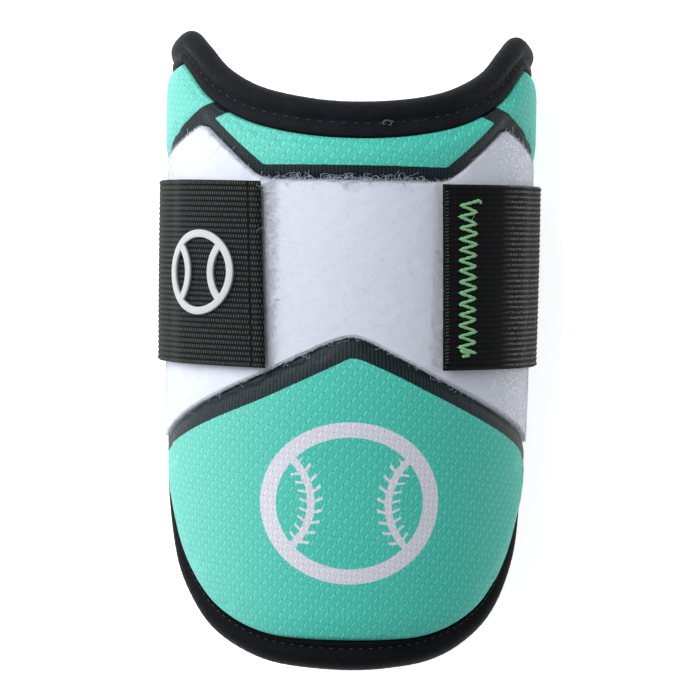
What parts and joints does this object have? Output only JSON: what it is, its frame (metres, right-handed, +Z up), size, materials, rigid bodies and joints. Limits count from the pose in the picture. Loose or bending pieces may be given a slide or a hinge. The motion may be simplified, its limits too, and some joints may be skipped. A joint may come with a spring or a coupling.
{
  "type": "baseball elbow guard",
  "caption": "Padded half-tube guard for a batter's elbow and forearm, with bound edges and a wide elastic strap that closes it round the arm.",
  "frame": {"origin": "on the floor under the middle of the guard, which lies on its open side on the flat span of its strap", "axes": "+X across the arm, +Y along the arm towards the elbow end, +Z up through the crown"},
  "size_m": [0.1066, 0.1743, 0.0661],
  "materials": {
    "lining": "black brushed knit bonded to foam",
    "binding": "black stretch knit with a soft sheen, stitched round the edge",
    "mesh_fabric": "mint green sports mesh over foam, with dark green printed borders and small staggered holes",
    "loop_fabric": "white brushed loop fabric with a fuzzy pile",
    "hook_tape": "black hook tape",
    "elastic": "black woven elastic with fine ribs along its length and green zigzag stitching",
    "badge_rubber": "silver grey moulded rubber, satin"
  },
  "bodies": {
    "root": {"liner": "lining", "edge_binding": "binding", "lower_panel": "mesh_fabric", "loop_panel": "loop_fabric", "upper_panel": "mesh_fabric", "hook_tab_left": "hook_tape", "hook_tab_right": "hook_tape", "strap": "elastic", "strap_badge": "badge_rubber"}
  },
  "joints": []
}
